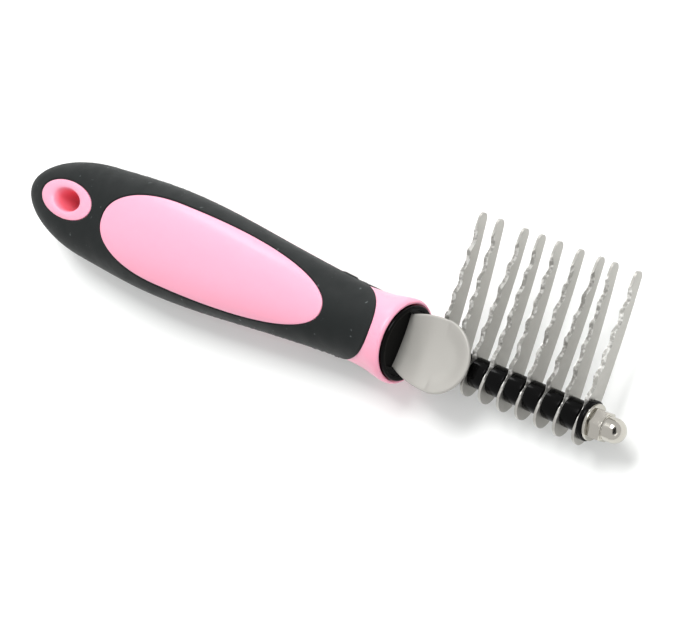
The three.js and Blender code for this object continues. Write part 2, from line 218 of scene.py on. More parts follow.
def rounded(corners, radius, steps=5):
    """A polyline with each inner corner replaced by a quadratic curve that touches both sides."""
    corners = [np.array(corner, float) for corner in corners]
    path = [corners[0]]
    for before, corner, after in zip(corners, corners[1:], corners[2:]):
        reach = min(radius, 0.49 * np.linalg.norm(before - corner), 0.49 * np.linalg.norm(after - corner))
        start = corner + reach * (before - corner) / np.linalg.norm(before - corner)
        end = corner + reach * (after - corner) / np.linalg.norm(after - corner)
        for t in np.linspace(0, 1, steps):
            path.append((1 - t) ** 2 * start + 2 * t * (1 - t) * corner + t ** 2 * end)
    path.append(corners[-1])
    return np.array(path)


def turned(profile, sides=96):
    """Surface of revolution about X: a profile of (x, radius) carried round by an angle."""
    profile = np.asarray(profile, float)
    angle = np.linspace(0, 2 * np.pi, sides, endpoint=False)
    x = np.repeat(profile[:, :1], sides, axis=1)
    return np.stack([x, profile[:, 1:] * np.cos(angle), profile[:, 1:] * np.sin(angle)], -1)


# %% [markdown]
# Finishes. Each one is a Principled shader with a fine bump and a little variation in roughness,
# in Object coordinates, so that the grain keeps its size on every piece.

# %% Material helpers
def new_finish(name, base, roughness, metallic=0.0, **sockets):
    """A material with a Principled shader; returns it with its node tree and shader."""
    material = bpy.data.materials.new(name)
    material.use_nodes = True
    shader = material.node_tree.nodes["Principled BSDF"]
    shader.inputs["Base Color"].default_value = (*base, 1)
    shader.inputs["Roughness"].default_value = roughness
    shader.inputs["Metallic"].default_value = metallic
    for socket, value in sockets.items():
        shader.inputs[socket.replace("_", " ")].default_value = value
    return material, material.node_tree, shader


def node(tree, kind, **settings):
    """Adds a node; a setting is a property of the node or the name of an input."""
    made = tree.nodes.new(kind)
    for key, value in settings.items():
        if hasattr(made, key):
            setattr(made, key, value)
        else:
            made.inputs[key.replace("_", " ")].default_value = value
    return made


def noise(tree, scale, detail=4.0, stretch=(1, 1, 1)):
    """Noise in Object coordinates, in features per metre; returns its factor socket."""
    place = node(tree, "ShaderNodeTexCoord")
    mapping = node(tree, "ShaderNodeMapping", Scale=stretch)
    grain = node(tree, "ShaderNodeTexNoise", Scale=scale, Detail=detail)
    tree.links.new(place.outputs["Object"], mapping.inputs["Vector"])
    tree.links.new(mapping.outputs["Vector"], grain.inputs["Vector"])
    return grain.outputs["Fac"]


def remap(tree, value, low, high):
    """Carries a factor from about 0.3..0.7 to low..high."""
    ranged = node(tree, "ShaderNodeMapRange", From_Min=0.3, From_Max=0.7, To_Min=low, To_Max=high)
    tree.links.new(value, ranged.inputs["Value"])
    return ranged.outputs["Result"]


def add_bump(tree, shader, height, distance_mm, strength=1.0, under=None):
    """Bump of a height in millimetres; under is a bump that this one adds to."""
    bump = node(tree, "ShaderNodeBump", Strength=strength, Distance=distance_mm * MM)
    tree.links.new(height, bump.inputs["Height"])
    if under is not None:
        tree.links.new(under.outputs["Normal"], bump.inputs["Normal"])
    tree.links.new(bump.outputs["Normal"], shader.inputs["Normal"])
    return bump


# %% Two colours by a factor
def blend_colours(tree, shader, base, other, factor):
    """The base where the factor is 0 and the other colour where it is 1."""
    colour = node(tree, "ShaderNodeMix", data_type="RGBA")
    colour.inputs["A"].default_value = (*base, 1)
    colour.inputs["B"].default_value = (*other, 1)
    tree.links.new(factor, colour.inputs["Factor"])
    tree.links.new(colour.outputs["Result"], shader.inputs["Base Color"])


def multiply(tree, first, second):
    product = node(tree, "ShaderNodeMath", operation="MULTIPLY")
    tree.links.new(first, product.inputs[0])
    tree.links.new(second, product.inputs[1])
    return product.outputs["Value"]


# %% [markdown]
# The handle is moulded in two shots: a glossy pink plastic that lets a little light in, and a matt
# black rubber over it with a fine spark-eroded grain.

# %% Plastics and rubber
PINK = (0.83, 0.34, 0.46)
# painted light: the red glow painted inside the eyelet's hole
PAINTED_HOLE_RED = (0.92, 0.20, 0.27)
BLACK_RUBBER = (0.008, 0.010, 0.010)
DUST = (0.16, 0.18, 0.18)


def pink_plastic():
    """The eyelet's hole is painted a deeper red by its attribute. This is painted light, standing in for
    light that has been through the plastic many times and comes out red.
    """
    material, tree, shader = new_finish(
        "pink_plastic", PINK, 0.34,
        Subsurface_Weight=0.2, Subsurface_Radius=(3.0, 0.7, 0.9), Subsurface_Scale=MM,
    )
    # painted light: the red glow deep inside the eyelet's hole is painted into the base colour
    deep = node(tree, "ShaderNodeAttribute", attribute_name="deep")
    blend_colours(tree, shader, PINK, PAINTED_HOLE_RED, deep.outputs["Fac"])
    tree.links.new(remap(tree, noise(tree, 900), 0.30, 0.38), shader.inputs["Roughness"])
    add_bump(tree, shader, noise(tree, 260, 2), 0.02, 0.5)
    return material


def soft_rubber():
    """Black, with a fine grain and a few light specks of dust."""
    material, tree, shader = new_finish(
        "soft_rubber", BLACK_RUBBER, 0.6,
        Sheen_Weight=0.03, Sheen_Roughness=0.4, Specular_IOR_Level=0.18,
    )
    specks = node(tree, "ShaderNodeMapRange", From_Min=0.70, From_Max=0.78, To_Max=0.5)
    tree.links.new(noise(tree, 650, 2), specks.inputs["Value"])
    blend_colours(tree, shader, BLACK_RUBBER, DUST, specks.outputs["Result"])
    tree.links.new(remap(tree, noise(tree, 220), 0.54, 0.66), shader.inputs["Roughness"])
    add_bump(tree, shader, noise(tree, 5200, 2), 0.03, 0.6)
    return material


def black_gloss():
    material, tree, shader = new_finish("black_gloss", (0.002, 0.002, 0.002), 0.14, Specular_IOR_Level=0.07)
    tree.links.new(remap(tree, noise(tree, 700), 0.10, 0.18), shader.inputs["Roughness"])
    add_bump(tree, shader, noise(tree, 400, 2), 0.01, 0.5)
    return material


pink = pink_plastic()
rubber = soft_rubber()
gloss = black_gloss()
print("moulded finishes:", pink.name, rubber.name, gloss.name)

# %% [markdown]
# Steels. The thumb rest and the blades are rolled sheet with a satin grain. The scallops are ground
# afterwards, so the blade finish reads the "ground" attribute, and is patchy, bright and uneven there.
# The nut and washer are nickel plated.

# %% Steels
FLAT_STEEL = (0.42, 0.41, 0.385)
GROUND_STEEL = (0.86, 0.85, 0.82)


def satin_steel():
    material, tree, shader = new_finish("satin_steel", (0.37, 0.36, 0.335), 0.5, 0.2)
    tree.links.new(remap(tree, noise(tree, 500), 0.42, 0.54), shader.inputs["Roughness"])
    waves = add_bump(tree, shader, noise(tree, 170, 2), 0.06, 0.7)
    add_bump(tree, shader, noise(tree, 2500, 3), 0.01, 0.5, waves)
    return material


def blade_steel():
    material, tree, shader = new_finish("blade_steel", FLAT_STEEL, 0.3, 0.75)
    ground = node(tree, "ShaderNodeAttribute", attribute_name="ground")
    patchy = node(tree, "ShaderNodeMapRange", From_Min=0.38, From_Max=0.62, To_Min=-0.3, To_Max=1.0)
    tree.links.new(noise(tree, 800, 3), patchy.inputs["Value"])
    bright = multiply(tree, patchy.outputs["Result"], ground.outputs["Fac"])
    blend_colours(tree, shader, FLAT_STEEL, GROUND_STEEL, bright)
    tree.links.new(remap(tree, noise(tree, 700), 0.28, 0.42), shader.inputs["Roughness"])
    marks = add_bump(tree, shader, multiply(tree, noise(tree, 900, 3), ground.outputs["Fac"]), 0.5, 0.8)
    add_bump(tree, shader, noise(tree, 1500, 3, (1, 0.15, 1)), 0.012, 0.5, marks)
    return material


def bright_nickel():
    material, tree, shader = new_finish("bright_nickel", (0.50, 0.48, 0.435), 0.14, 1.0)
    tree.links.new(remap(tree, noise(tree, 600), 0.10, 0.20), shader.inputs["Roughness"])
    add_bump(tree, shader, noise(tree, 900, 2), 0.01, 0.5)
    return material


def plain_brass():
    material, tree, shader = new_finish("plain_brass", (0.62, 0.42, 0.17), 0.35, 1.0)
    tree.links.new(remap(tree, noise(tree, 800), 0.3, 0.42), shader.inputs["Roughness"])
    return material


steel = satin_steel()
blade_finish = blade_steel()
nickel = bright_nickel()
brass = plain_brass()
print("metal finishes:", steel.name, blade_finish.name, nickel.name, brass.name)

# %% [markdown]
# The handle's skin is a superellipse section whose half width and half thickness run along X by a
# spline. The butt closes as a quarter circle: past CAP_X the length s keeps growing while x follows
# its sine and the section its cosine. A point of the skin is named by s and an angle a, from 0 on
# the side of the blade tips over the top to 180 degrees.

# %% The handle's skin
CAP_X, CAP_LENGTH = -117.0, 28.0
BUTT_S = CAP_X - CAP_LENGTH * np.pi / 2
NECK_X, FULL_OVAL_X, OVAL_POWER = -16.0, -40.0, 2.25
HANDLE_STATIONS = np.array([  # x, half width, half thickness
    [-145, 12.8, 8.9],
    [CAP_X, 14.1, 9.9],
    [-91, 15.5, 11.94],
    [-69, 14.7, 11.84],
    [-48, 12.7, 11.3],
    [-28, 10.9, 10.5],
    [NECK_X, 10.3, 10.3],
    [-11, 10.5, 10.5],
    [-7.5, 10.9, 10.9],
    [-4.5, 11.5, 11.5],
])


def signed_power(value, power):
    return np.sign(value) * np.abs(value) ** power


def skin_x(s):
    return np.where(s > CAP_X, s, CAP_X - CAP_LENGTH * np.sin((CAP_X - s) / CAP_LENGTH))


def skin_s(x):
    """The length s at which the skin has reached x."""
    return np.where(x > CAP_X, x, CAP_X - CAP_LENGTH * np.arcsin(np.clip((CAP_X - x) / CAP_LENGTH, 0, 1)))


def section(s):
    """Half width, half thickness and superellipse power of the section at s."""
    x = skin_x(s)
    close = np.cos(np.clip((CAP_X - s) / CAP_LENGTH, 0, np.pi / 2))
    width = spline(HANDLE_STATIONS[:, 0], HANDLE_STATIONS[:, 1], x) * close
    height = spline(HANDLE_STATIONS[:, 0], HANDLE_STATIONS[:, 2], x) * close ** 0.65
    oval = np.clip((NECK_X - x) / (NECK_X - FULL_OVAL_X), 0, 1)
    return width, height, 2 + (OVAL_POWER - 2) * oval


def skin_point(s, a):
    """x from s; y = width times cos(a), z = height times sin(a), both to the power 2 / p."""
    width, height, power = section(s)
    y = width * signed_power(np.cos(a), 2 / power)
    z = height * signed_power(np.sin(a), 2 / power)
    return np.stack([skin_x(s), y, z], -1)


FLASH_S, FLASH_HALF, FLASH_HEIGHT = -23.7, 2.6, 0.35  # the tall piece of flash
POLE_REACH = 0.02


def flash(s, a):
    """Height of the ragged flash on the mould's parting line, at both sides of the handle. It is
    where a sum of three waves is above zero; one tall even piece is left near the collar."""
    waves = np.sin(0.9 * s) + np.sin(2.3 * s + 1) + np.sin(5.1 * s + 2 * a)
    ragged = np.where((a > 1) & (s > -32), 0.12, 0.06) * np.clip(waves, 0, 1.5)
    height = np.where((np.abs(s - FLASH_S) < FLASH_HALF) & (a < 1), FLASH_HEIGHT, ragged)
    return np.where(np.sin(a) < 0.02, height, 0)


def skin(s, a, inset=0.0):
    """The skin moved inwards by inset, along its normal, which is the cross product of the two
    directions round and along it. Everything within POLE_REACH of the butt's pole is the pole."""
    s, a, inset = np.broadcast_arrays(s, a, inset)
    at_pole = s[..., None] < BUTT_S + POLE_REACH
    s = np.maximum(s, BUTT_S + POLE_REACH)
    step = 1e-3
    along = skin_point(s + step, a) - skin_point(s - step, a)
    around = skin_point(s, a + step) - skin_point(s, a - step)
    normal = np.cross(around, along)
    normal /= np.linalg.norm(normal, axis=-1, keepdims=True)
    moved = skin_point(s, a) - (inset - flash(s, a) * (inset == 0))[..., None] * normal
    return np.where(at_pole, np.stack([skin_x(BUTT_S) + inset, 0 * inset, 0 * inset], -1), moved)


def plan_to_skin(x, y):
    """The s and a of the skin's point above a place in plan: cos(a) is y over the half width,
    to the power p / 2."""
    s = skin_s(x)
    width, _, power = section(s)
    return s, np.arccos(signed_power(np.clip(y / width, -1, 1), power / 2))


print("handle skin:", (skin_x(BUTT_S) - HANDLE_STATIONS[-1, 0]).round(1), "mm from butt to collar")

# %% [markdown]
# The rubber grip is that skin with three openings on each face: a long oval window, the hanging
# eyelet, and the front edge, which is a rounded tongue over the collar. Round each opening the skin
# is laid out as a fan: columns run from the opening's outline out to a rectangle in s and a, and
# rows go along them. The rows start down the wall of the opening and roll over its edge.

# %% Openings and fans
GRIP_WALL, EDGE_ROUND = 1.7, 0.45
SPLIT_S = -109.0  # between the eyelet's fan and the window's
WINDOW = dict(x=-80.0, y=0.0, rear=25.8, front=58.4, half=12.0, power=2.2)
EYELET = dict(x=-123.4, y=0.35, rear=12.1, front=12.1, half=5.65, power=2.0)
TONGUE_X, TONGUE_LENGTH, TONGUE_HALF, TONGUE_POWER = -18.0, 13.3, 10.2, 2.3
TONGUE_BACK = -21.0
AROUND_STEPS, FAN_ROWS = 56, 22


def opening_outline(opening, angle, grow=0.0):
    """Superellipse in plan with its own reach in front and behind; returned as s and a."""
    power = 2 / opening["power"]
    along = signed_power(np.cos(angle), power)
    reach = np.where(along < 0, opening["rear"], opening["front"]) + grow
    y = (opening["half"] + grow) * signed_power(np.sin(angle), power)
    return plan_to_skin(opening["x"] + reach * along, opening["y"] + y)


def rectangle(s_low, s_high, steps):
    """Closed walk round a rectangle in s and a, from a = 0 at the front."""
    a = np.linspace(0, np.pi, AROUND_STEPS + 1)
    s = np.linspace(s_low, s_high, steps + 1)
    walk_s = [np.full(AROUND_STEPS, s_high), s[:0:-1], np.full(AROUND_STEPS, s_low), s[:-1]]
    walk_a = [a[:-1], np.full(steps, np.pi), a[:0:-1], np.zeros(steps)]
    return np.concatenate(walk_s), np.concatenate(walk_a)


def edge_rows(wall, radius, steps=5):
    """Distance from the edge and depth under the skin, down the wall and over a quarter round."""
    turn = np.linspace(0, np.pi / 2, steps)
    reach = np.concatenate([[0.0], radius * (1 - np.cos(turn))])
    depth = np.concatenate([[wall], radius * (1 - np.sin(turn))])
    return reach, depth


def fan(inner, outer, wall, radius=EDGE_ROUND):
    """Outer and inner skin between two curves given as (s, a), with the inner curve's edge
    rolled over. The grid's rows are a fraction of the way from one curve to the other."""
    start, end = skin(*inner), skin(*outer)
    length = np.linalg.norm(end - start, axis=-1)
    reach, depth = edge_rows(wall, radius)
    near = reach[:, None] / length
    spread = np.linspace(0, 1, FAN_ROWS)[1:, None] ** 1.25
    far = near[-1] + (1 - near[-1]) * spread
    fraction = np.concatenate([near, far])
    depths = np.concatenate([depth, np.zeros(FAN_ROWS - 1)])[:, None]
    s = inner[0] + (outer[0] - inner[0]) * fraction
    a = inner[1] + (outer[1] - inner[1]) * fraction
    under = np.concatenate([[np.zeros_like(length)], far])
    under_s = inner[0] + (outer[0] - inner[0]) * under
    under_a = inner[1] + (outer[1] - inner[1]) * under
    return skin(s, a, depths + np.zeros_like(s)), skin(under_s, under_a, wall)


def opening_fan(opening, s_low, s_high, steps):
    """The fan from an opening to its rectangle. A column starts where the outline has the same
    direction as the column's end, measured in the rectangle's own proportions."""
    outer = rectangle(s_low, s_high, steps)
    middle = skin_s(np.array(opening["x"]))
    ahead = (outer[0] - middle) / np.where(outer[0] > middle, s_high - middle, middle - s_low)
    side = 1 - outer[1] / (np.pi / 2)
    return fan(opening_outline(opening, np.arctan2(side, ahead)), outer, GRIP_WALL)


def tongue_fan():
    """From the front edge back to the neck. The front edge is where the section's y meets the
    plan's superellipse, found by halving."""
    a = np.linspace(0, np.pi, AROUND_STEPS + 1)
    low, high = np.full_like(a, TONGUE_X), np.full_like(a, TONGUE_X + TONGUE_LENGTH)
    for _ in range(30):
        middle = (low + high) / 2
        inside = ((middle - TONGUE_X) / TONGUE_LENGTH) ** TONGUE_POWER
        inside += (np.abs(skin_point(middle, a)[:, 1]) / TONGUE_HALF) ** TONGUE_POWER
        low, high = np.where(inside < 1, middle, low), np.where(inside < 1, high, middle)
    return fan((low, a), (np.full_like(a, TONGUE_BACK), a), GRIP_WALL)


def both_faces(grids):
    """Adds the mirror image below the handle's axis."""
    return grids + [(grid * (1, 1, -1), wrap) for grid, wrap in grids]


# %% Make the grip
grip_grids = [(grid, True) for grid in opening_fan(WINDOW, SPLIT_S, TONGUE_BACK, 110)]
grip_grids += [(grid, True) for grid in opening_fan(EYELET, BUTT_S, SPLIT_S, 44)]
grip_grids += [(grid, False) for grid in tongue_fan()]
grip = make_piece("grip_skin", both_faces(grip_grids), handle_origin)
fit_out(grip, "rake", "soft_grip", rubber, "grip")

# %% [markdown]
# The pink core shows in three places. Its pads fill the windows, just under the rubber's skin, with
# a small round edge of their own.

# %% Make the window pads
PAD_SINK, PAD_DEPTH, PAD_GAP = 0.12, 1.6, 0.1


def pad_grid():
    """Closed lens of skin: rows run from the middle out over the top, down the edge and back."""
    angle = np.linspace(0, 2 * np.pi, 240, endpoint=False)
    edge = opening_outline(WINDOW, angle, -PAD_GAP)
    middle = WINDOW["x"], np.pi / 2
    reach, depth = edge_rows(PAD_DEPTH, 0.3)
    over = np.linspace(0, 1, 26) ** 0.8
    length = np.linalg.norm(skin(*edge) - skin(np.array(middle[0]), middle[1]), axis=-1)
    fraction = np.concatenate([
        over[:-1, None] * (1 - reach[-1] / length),
        1 - reach[::-1, None] / length,
        [0.5 * np.ones_like(length), 0 * length],
    ])
    depths = np.concatenate([np.full(25, PAD_SINK), depth[::-1] + PAD_SINK, [PAD_DEPTH + PAD_SINK] * 2])
    s = middle[0] + (edge[0] - middle[0]) * fraction
    a = middle[1] + (edge[1] - middle[1]) * fraction
    return skin(s, a, depths[:, None] + np.zeros_like(s))


pads = make_piece("window_pads", both_faces([(pad_grid(), True)]), handle_origin)
fit_out(pads, "rake", "pink_plastic", pink, "handle_core")

# %% [markdown]
# The collar is turned: a trumpet that grows out of the neck and rolls over into the lip round the
# plug.

# %% Make the collar
collar_outside = smooth_path([
    (NECK_X - 6, 9.4), (NECK_X, 9.95), (-11, 10.15), (-7.5, 10.5), (-4.5, 11.05), (-2.6, 11.35),
    (-1.3, 11.4), (-0.55, 11.15), (-0.25, 10.75), (-0.35, 10.4), (-0.9, 10.2),
], 60)
socket = [(-6, 10.2), (-6, 8.0), (NECK_X - 6, 8.0)]
collar_profile = np.concatenate([socket[2:], collar_outside, socket])
collar = make_piece("collar", [(turned(collar_profile, 160), True)], handle_origin)
fit_out(collar, "rake", "pink_plastic", pink, "handle_core")

# %% [markdown]
# The eyelet is a sleeve through the handle. Its outer wall is an oval, its mouth funnels in to a
# narrower oval, and its face follows the rubber round it. A profile of (how far in, how deep) is
# carried round the oval, and both faces share it.

# %% Make the eyelet
EYELET_WAIST = (5.2, 2.9)
eyelet_mouth = smooth_path([
    (0.0, 0.8), (0.015, 0.2), (0.06, 0.0), (0.35, -0.05), (0.60, 0.0), (0.74, 0.22), (0.85, 0.8),
    (0.93, 1.9), (0.98, 4.0), (1.0, 7.6),
], 40)


def eyelet_grid():
    """Semi-axes go from the outer oval to the waist by the profile's first value, and the face is
    lower than the skin there by its second. Rows run over the top, through, and round below."""
    angle = np.linspace(0, 2 * np.pi, 144, endpoint=False)
    inward, depth = eyelet_mouth.T[:, :, None]
    long = EYELET["rear"] - 0.08 + (EYELET_WAIST[0] - EYELET["rear"]) * inward
    wide = EYELET["half"] - 0.08 + (EYELET_WAIST[1] - EYELET["half"]) * inward
    x = EYELET["x"] + long * np.cos(angle)
    y = EYELET["y"] + wide * np.sin(angle)
    width, height, power = section(skin_s(x))
    z = height * (1 - np.clip(np.abs(y) / width, 0, 1) ** power) ** (1 / power) - depth - 0.05
    top = np.stack([x, y, np.maximum(z, 0.3)], -1)
    under = (top * (1, 1, -1))[::-1]
    # painted light: the deeper a point lies in the hole, the more painted red glow it gets, in place of light
    # passed through the plastic
    deep = np.clip((depth - 0.3) / 2.5, 0, 1) + 0 * y
    return np.concatenate([top, under, top[:1]]), np.concatenate([deep, deep[::-1], deep[:1]])


grid, deep = eyelet_grid()
eyelet = make_piece("eyelet", [(grid, True)], handle_origin, deep=deep)
fit_out(eyelet, "rake", "pink_plastic", pink, "handle_core")

# %% [markdown]
# The thumb rest is a pressed plate: a height over its plan, which is level in the plug, ramps up
# over the rod, is dished across its width and curls up at its round end. Its outline is an arc with
# two flanks, and every ring of the grid is that outline drawn smaller.

# %% Make the thumb rest
PLATE_THICK, PLATE_LOW, PLATE_HIGH, PLATE_RAMP_X, PLATE_DISH = 1.1, 2.2, 4.25, 9.6, 0.9
PLATE_ROUND_X, PLATE_ROUND_RADIUS, PLATE_ROOT_HALF, PLATE_Y = 14.1, 9.5, 7.3, 0.3
PLATE_ROOT_X = -2.5
FLARE_SLOPE, FLARE_INNER, FLARE_OUTER = 0.34, 4.6, 1.3


def soft_ramp(t, start, end, soft):
    """Rises by 1 for each 1 of t between start and end, with its two corners rounded over soft."""
    return soft * (np.logaddexp(0, (t - start) / soft) - np.logaddexp(0, (t - end) / soft))


def plate_height(x, y):
    """Underside: a ramp from low to high, plus a parabola across, plus the flare. The flare rises
    outwards from the end's centre, between two distances inside its outline, and it dies away
    towards the flanks."""
    ramp = soft_ramp(x, 0, PLATE_RAMP_X, 0.8) / PLATE_RAMP_X
    out = np.hypot(np.maximum(x - PLATE_ROUND_X, 0), y) - PLATE_ROUND_RADIUS
    flare = FLARE_SLOPE * soft_ramp(out, -FLARE_INNER, -FLARE_OUTER, 0.3)
    ahead = np.clip((x - PLATE_ROUND_X) / PLATE_ROUND_RADIUS, 0, 1) ** 0.5
    dish = PLATE_DISH * (y / PLATE_ROUND_RADIUS) ** 2
    return PLATE_LOW + (PLATE_HIGH - PLATE_LOW) * ramp + dish + flare * ahead


def plate_outline():
    """Root corner, a curved flank, the arc of the end, and the same mirrored."""
    t = np.linspace(0, 1, 24)[:, None]
    corner, knee = np.array([1.2, PLATE_ROOT_HALF]), np.array([PLATE_ROUND_X / 2, PLATE_ROUND_RADIUS])
    end = np.array([PLATE_ROUND_X, PLATE_ROUND_RADIUS])
    flank = (1 - t) ** 2 * corner + 2 * t * (1 - t) * knee + t ** 2 * end
    angle = np.linspace(np.pi / 2, 0, 50)[1:]
    arc = end * (1, 0) + PLATE_ROUND_RADIUS * np.stack([np.cos(angle), np.sin(angle)], -1)
    root = np.stack([np.linspace(PLATE_ROOT_X, 1.0, 6), np.full(6, PLATE_ROOT_HALF - 0.02)], -1)
    half = np.concatenate([root, flank, arc])
    across = np.linspace(-1, 1, 15)[1:-1, None] * (0, PLATE_ROOT_HALF) + (PLATE_ROOT_X, 0)
    return np.concatenate([half, (half * (1, -1))[-2::-1], across])


def plate_grid():
    """Rings from the middle out over the top, round the rim in a half circle, and back below."""
    outline = plate_outline()
    middle = np.array([PLATE_ROUND_X / 2, 0])
    rim = PLATE_THICK / 2
    turn = np.linspace(np.pi / 2, -np.pi / 2, 9)
    inside = np.linspace(0, 1, 30)[:-1]
    shrink = np.concatenate([inside, np.ones(9), inside[::-1]])
    tuck = np.concatenate([rim * inside ** 4, rim * (1 - np.cos(turn)), rim * inside[::-1] ** 4])
    lift = np.concatenate([np.full(29, rim), rim * np.sin(turn), np.full(29, -rim)])
    away = outline - middle
    length = np.linalg.norm(away, axis=1, keepdims=True)
    plan = middle + away * (shrink[:, None, None] - tuck[:, None, None] / length)
    plan = np.where(shrink[:, None, None] == 0, middle, plan)
    z = plate_height(plan[..., 0], plan[..., 1]) + rim + lift[:, None]
    return np.stack([plan[..., 0], plan[..., 1] + PLATE_Y, z], -1)


thumb_rest = make_piece("thumb_plate", [(plate_grid(), True)], rod_origin, sharp=50)
fit_out(thumb_rest, "rake", "satin_steel", steel, "thumb_rest")

# %% [markdown]
# The plug closes the collar. It is a turned shape with a raised rim and a recessed face, but the
# face has a slot for the plate, so its columns start on the slot's outline and blend to circles.

# %% Make the plug
PLUG_RADIUS, PLUG_FACE_X, SLOT_HALF, SLOT_GAP = 10.15, -0.4, 7.55, 0.22


def slot_outline(angle):
    """The plate's own curve, a little wider and thicker; a superellipse gives it round ends."""
    y = SLOT_HALF * signed_power(np.cos(angle), 0.8)
    middle = PLATE_LOW + PLATE_THICK / 2 + PLATE_DISH * (y / PLATE_ROUND_RADIUS) ** 2
    z = middle + (PLATE_THICK / 2 + SLOT_GAP) * signed_power(np.sin(angle), 0.35)
    return np.stack([y + PLATE_Y, z + rod_origin[2] - handle_origin[2]], -1)


def plug_grid():
    """Rows: the slot's floor and wall, the face, up the rim, over it, and back along the body to
    the middle."""
    angle = np.linspace(0, 2 * np.pi, 160, endpoint=False)
    slot = slot_outline(angle)
    circle = np.stack([np.cos(angle), np.sin(angle)], -1)
    rim = rounded([
        (PLUG_FACE_X, 8.0), (PLUG_FACE_X, 8.85), (PLUG_RIM_FRONT, 8.9), (PLUG_RIM_FRONT, PLUG_RADIUS),
        (-1.4, PLUG_RADIUS), (-1.4, 9.0), (-5, 9.0), (-5, 0.0),
    ], 0.38)
    rows = [(-2.5, slot), (PLUG_FACE_X - 0.1, slot), (PLUG_FACE_X, slot + 0.05 * circle)]
    for blend in np.linspace(0, 1, 10)[1:]:
        rows.append((PLUG_FACE_X, (1 - blend) * slot + blend * 8.0 * circle))
    rows += [(x, radius * circle) for x, radius in rim[1:]]
    floor = np.stack([slot[:, 0], np.full(len(angle), slot[:, 1].mean())], -1)
    rows = [(-2.5, 0.02 * floor + 0.98 * floor.mean(0))] + rows
    return np.stack([np.column_stack([np.full(len(angle), x), yz]) for x, yz in rows])


plug = make_piece("collar_plug_face", [(plug_grid(), True)], handle_origin)
fit_out(plug, "rake", "black_plastic", gloss, "collar_plug")

# %% [markdown]
# A blade is a band between two curves, its edge and its back, with a section that changes along it.
# The edge is a straight line with six hollows ground into it; the back is a smooth bow. Grinding
# leaves a slanting facet whose inner border bulges with each hollow.

# %% Blade outline
TIP_Y, TIP_RADIUS, TIP_Z = 37.2, 1.6, 1.3
BASE_RADIUS, BASE_DROP = 3.95, 2.6
SCALLOPS, SCALLOP_PITCH, SCALLOP_DEPTH, SCALLOP_START = 6, 5.5, 0.95, -0.5
FACET_NARROW, FACET_WIDE, FLAT_THICK = 0.9, 1.75, 0.85
EDGE_TOP = BASE_RADIUS - 0.15


def blade_stations():
    """Places along the blade: close together at both round ends, 16 to a hollow."""
    quarter = np.linspace(0, np.pi / 2, 12)
    base = -BASE_DROP - BASE_RADIUS * np.cos(quarter)
    hollows = np.linspace(SCALLOP_START, SCALLOP_START + SCALLOPS * SCALLOP_PITCH, SCALLOPS * 16 + 1)
    tip_middle = TIP_Y - TIP_RADIUS
    neck = np.linspace(hollows[-1], tip_middle, 8)
    tip = tip_middle + TIP_RADIUS * np.sin(quarter)
    return np.concatenate([base, [-1.5], hollows, neck[1:-1], tip])


def blade_edge(y):
    """Straight from the base to the tip's arc, and round at both ends; no hollows yet."""
    tip_middle = TIP_Y - TIP_RADIUS
    line = np.interp(y, [-BASE_DROP, SCALLOP_START, tip_middle], [BASE_RADIUS, EDGE_TOP, TIP_Z + TIP_RADIUS])
    base = np.sqrt(np.maximum(BASE_RADIUS ** 2 - (y + BASE_DROP) ** 2, 0))
    tip = TIP_Z + np.sqrt(np.maximum(TIP_RADIUS ** 2 - (y - tip_middle) ** 2, 0))
    return np.where(y < -BASE_DROP, base, np.where(y > tip_middle, tip, line))


def blade_back(y):
    """A quadratic curve from the tip's arc to the base's arc, bowed outwards."""
    t = np.linspace(0, 1, 200)
    tip_middle = TIP_Y - TIP_RADIUS
    along = (1 - t) ** 2 * tip_middle + 2 * t * (1 - t) * 18 - t ** 2 * BASE_DROP
    height = (1 - t) ** 2 * (TIP_Z - TIP_RADIUS) - 2 * t * (1 - t) * 0.82 * BASE_RADIUS - t ** 2 * BASE_RADIUS
    line = np.interp(y, along[::-1], height[::-1])
    base = -np.sqrt(np.maximum(BASE_RADIUS ** 2 - (y + BASE_DROP) ** 2, 0))
    tip = TIP_Z - np.sqrt(np.maximum(TIP_RADIUS ** 2 - (y - tip_middle) ** 2, 0))
    return np.where(y < -BASE_DROP, base, np.where(y > tip_middle, tip, line))


def hollow_phase(y):
    """A sine rounded off at its zeros: 0 at the teeth, 1 in a hollow's middle, 0 beyond them."""
    count = (y - SCALLOP_START) / SCALLOP_PITCH
    inside = (count > 0) & (count < SCALLOPS)
    return np.where(inside, np.sin(np.pi * (count % 1)) ** 1.4, 0)


# %% [markdown]
# Each section runs round from the back: across the far side, over the edge, down the facet and
# across the near side. The facet's two borders are points of their own, so it stays crisp. The
# blades of a used rake don't stand quite parallel, so each one leans by its own small amount.

# %% Make the blades
LEAN = [-1.7, -1.9, 0.25, -0.25, -0.55, 0.2, 0.5, -1.1, 0.0]  # sideways shift of each tip
REACH = 0.7  # the first blade reaches further than the last by this much


